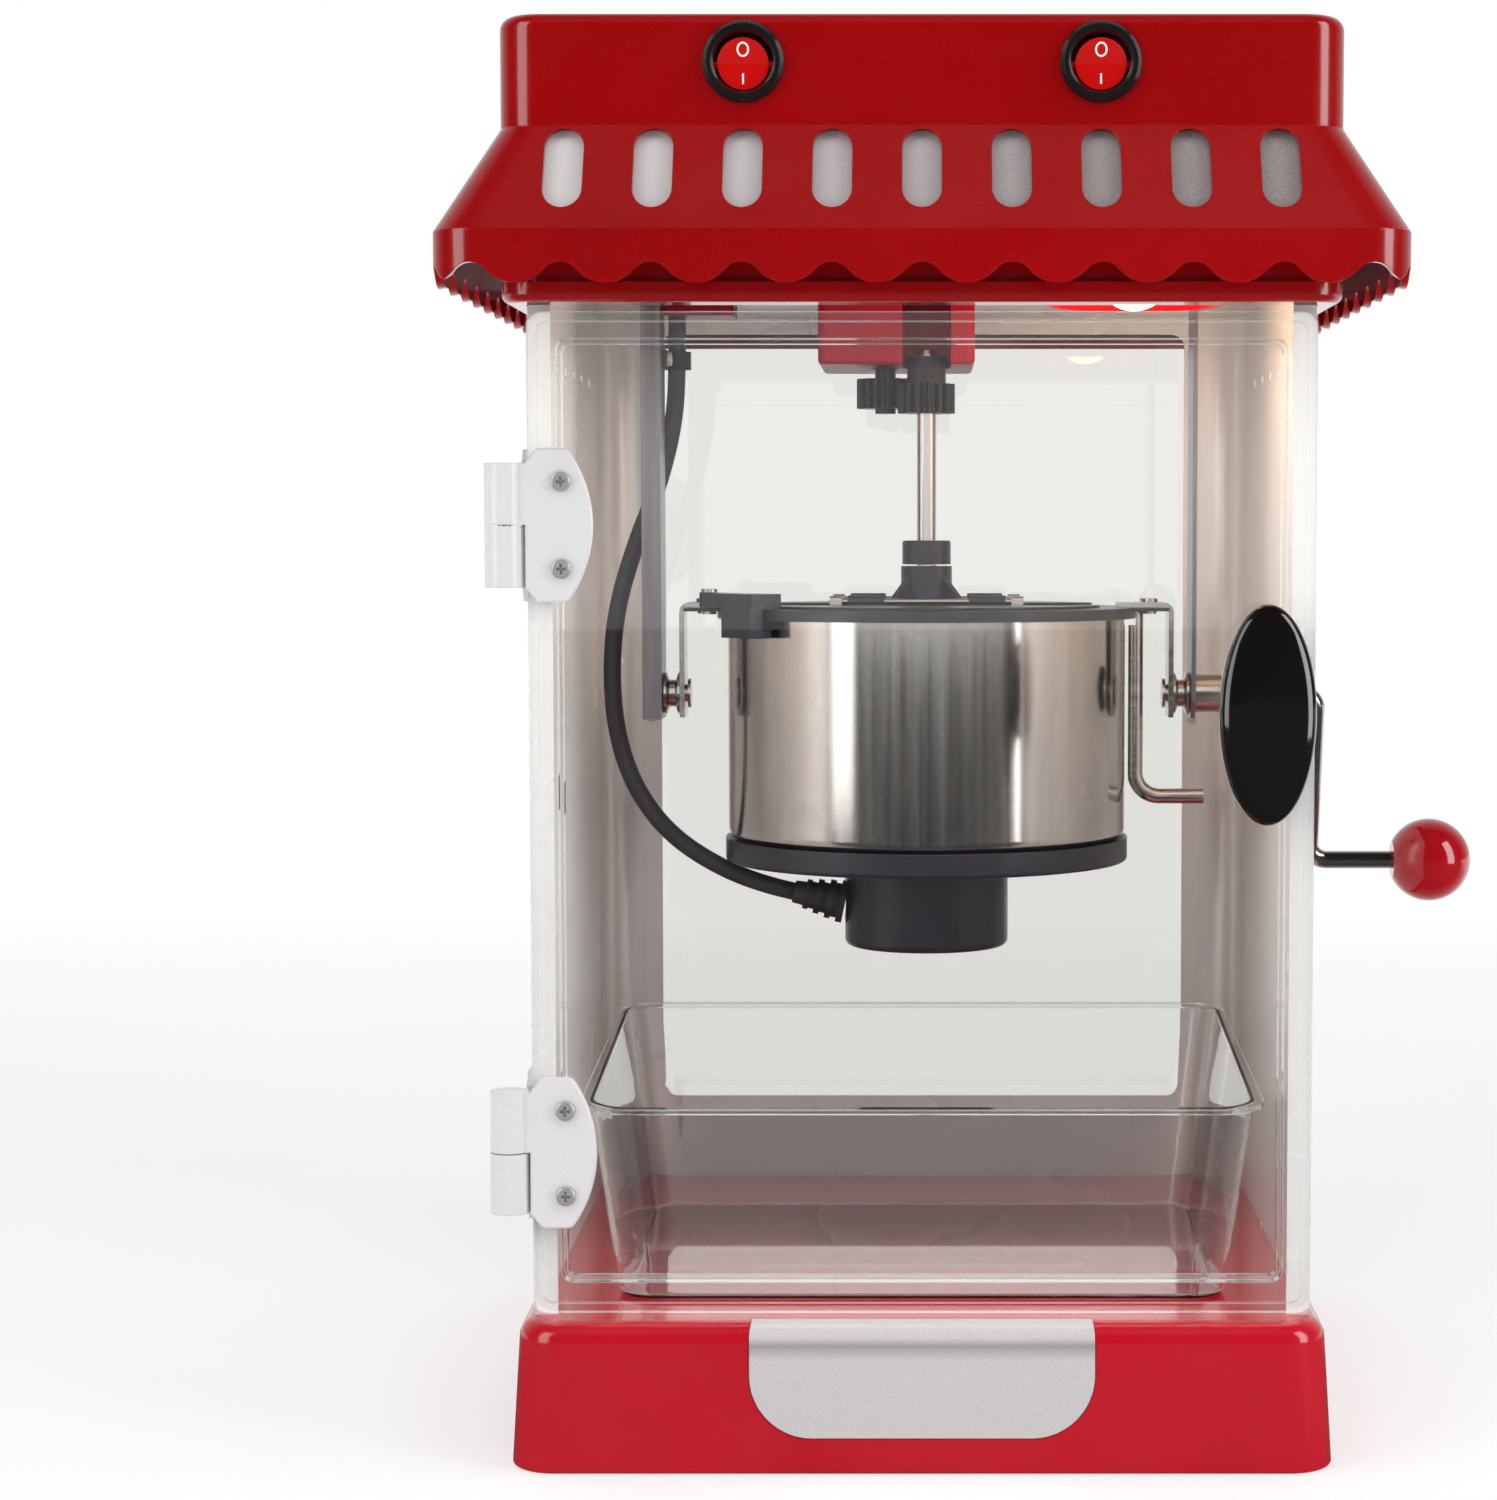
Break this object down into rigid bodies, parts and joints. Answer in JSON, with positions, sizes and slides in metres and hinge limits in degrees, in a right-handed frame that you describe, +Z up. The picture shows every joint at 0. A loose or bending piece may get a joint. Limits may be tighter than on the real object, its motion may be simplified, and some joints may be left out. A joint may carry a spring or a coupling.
{
  "type": "popcorn maker",
  "caption": "Table-top popcorn maker: red base and scalloped canopy, steel cabinet with clear hinged door, and a tilting kettle with stirrer and side crank.",
  "frame": {"origin": "on the table, under the middle of the base", "axes": "+Z up, +X to the right of someone facing the door, -Y towards that person"},
  "size_m": [0.332, 0.274, 0.435],
  "materials": {
    "red_plastic": "glossy moulded red",
    "silver_trim": "satin silver",
    "cabinet_steel": "polished sheet",
    "clear_plastic": "clear, polished",
    "black_plastic": "fine-textured black",
    "black_gloss": "glossy black",
    "lid_steel": "dark non-stick coating",
    "kettle_steel": "polished, spun",
    "cast_aluminium": "as cast",
    "plated_steel": "bright plated",
    "red_ball": "glossy red",
    "white_plastic": "glossy white",
    "lamp_glass": "warm frosted glass",
    "socket_plastic": "heat-proof moulding",
    "gear_nylon": "moulded nylon, black",
    "red_lens": "translucent red",
    "soft_rubber": "matt black"
  },
  "bodies": {
    "cabinet": {"base_shell": "red_plastic", "base_cover": "black_plastic", "rubber_feet": "soft_rubber", "badge_plate": "silver_trim", "wrap_panel": "cabinet_steel", "rear_window": "clear_plastic", "cabinet_screws": "plated_steel", "top_frame": "red_plastic", "canopy_shell": "red_plastic", "vent_backing": "silver_trim", "ceiling_plate": "cabinet_steel", "motor_housing": "red_plastic", "gear_motor": "cabinet_steel", "lamp_reflector": "red_plastic", "lamp_socket": "socket_plastic", "lamp_bulb": "lamp_glass", "hanger_left": "cabinet_steel", "hanger_right": "cabinet_steel", "switch_housings": "black_gloss", "mains_gland": "black_plastic", "terminal_block": "black_plastic", "lead_socket": "red_plastic", "lead_clip": "black_plastic", "upper_hinge_bracket": "white_plastic", "lower_hinge_bracket": "white_plastic", "hinge_pins": "plated_steel", "crank_bush": "black_plastic", "kettle_lead": "soft_rubber"},
    "door": {"door_panel": "clear_plastic", "upper_hinge_leaf": "white_plastic", "lower_hinge_leaf": "white_plastic", "door_screws": "plated_steel", "door_handle": "black_gloss", "door_magnet": "black_plastic"},
    "kettle": {"kettle_pot": "kettle_steel", "kettle_base": "black_plastic", "heater_plate": "cast_aluminium", "thermostat": "cast_aluminium", "heater_cup": "black_plastic", "lead_strain_relief": "soft_rubber", "lid_plate": "lid_steel", "lid_hub": "black_plastic", "flap_hinge_rods": "plated_steel", "bracket_left": "plated_steel", "bracket_right": "plated_steel", "bracket_rivets": "plated_steel", "pivot_pin": "plated_steel", "crank_handle": "plated_steel", "ball_knob": "red_ball", "kettle_stop_rod": "plated_steel"},
    "agitator": {"stir_shaft": "plated_steel", "driven_gear": "gear_nylon", "shaft_collar": "black_plastic"},
    "motor_rotor": {"drive_gear": "gear_nylon"},
    "flap_front": {"flap_front": "lid_steel"},
    "flap_rear": {"flap_rear": "lid_steel"},
    "lid_latch": {"lid_latch": "black_plastic"},
    "tray": {"popcorn_tray": "clear_plastic"},
    "rocker_left": {"rocker_left": "red_lens"},
    "rocker_right": {"rocker_right": "red_lens"}
  },
  "joints": [
    {"name": "door_swing", "type": "hinge", "parent": "cabinet", "child": "door", "pos_m": [-0.125, -0.106, 0.19], "axis": [0, 0, -1], "range_deg": [0, 170]},
    {"name": "tray_slide", "type": "slide", "parent": "cabinet", "child": "tray", "axis": [0, -1, 0], "range_m": [0, 0.131]},
    {"name": "kettle_tilt", "type": "hinge", "parent": "cabinet", "child": "kettle", "pos_m": [0, 0.013, 0.2294], "axis": [1, 0, 0], "range_deg": [0, 90], "deforming": ["kettle_lead"]},
    {"name": "agitator_spin", "type": "hinge", "parent": "kettle", "child": "agitator", "pos_m": [0.0015, 0.013, 0.3284], "axis": [0, 0, 1], "continuous": true},
    {"name": "motor_spin", "type": "hinge", "parent": "cabinet", "child": "motor_rotor", "pos_m": [-0.01242, 0.0233, 0.3305], "axis": [0, 0, 1], "continuous": true},
    {"name": "front_flap_lift", "type": "hinge", "parent": "kettle", "child": "flap_front", "pos_m": [0.0015, -0.0086, 0.2608], "axis": [-1, 0, 0], "range_deg": [0, 95]},
    {"name": "rear_flap_lift", "type": "hinge", "parent": "kettle", "child": "flap_rear", "pos_m": [0.0015, 0.0346, 0.2608], "axis": [1, 0, 0], "range_deg": [0, 95]},
    {"name": "latch_swing", "type": "hinge", "parent": "kettle", "child": "lid_latch", "pos_m": [-0.071, 0.002, 0.2615], "axis": [0, 0, -1], "range_deg": [0, 60]},
    {"name": "left_switch_rock", "type": "hinge", "parent": "cabinet", "child": "rocker_left", "pos_m": [-0.0523, -0.1136, 0.4205], "axis": [-1, 0, 0], "range_deg": [0, 12]},
    {"name": "right_switch_rock", "type": "hinge", "parent": "cabinet", "child": "rocker_right", "pos_m": [0.0523, -0.1136, 0.4205], "axis": [-1, 0, 0], "range_deg": [0, 12]}
  ],
  "couplings": [
    {"joint": "motor_spin", "follows": "agitator_spin", "ratio": -1},
    {"joint": "tray_slide", "follows": "door_swing", "m_per_rad": 0.044}
  ]
}
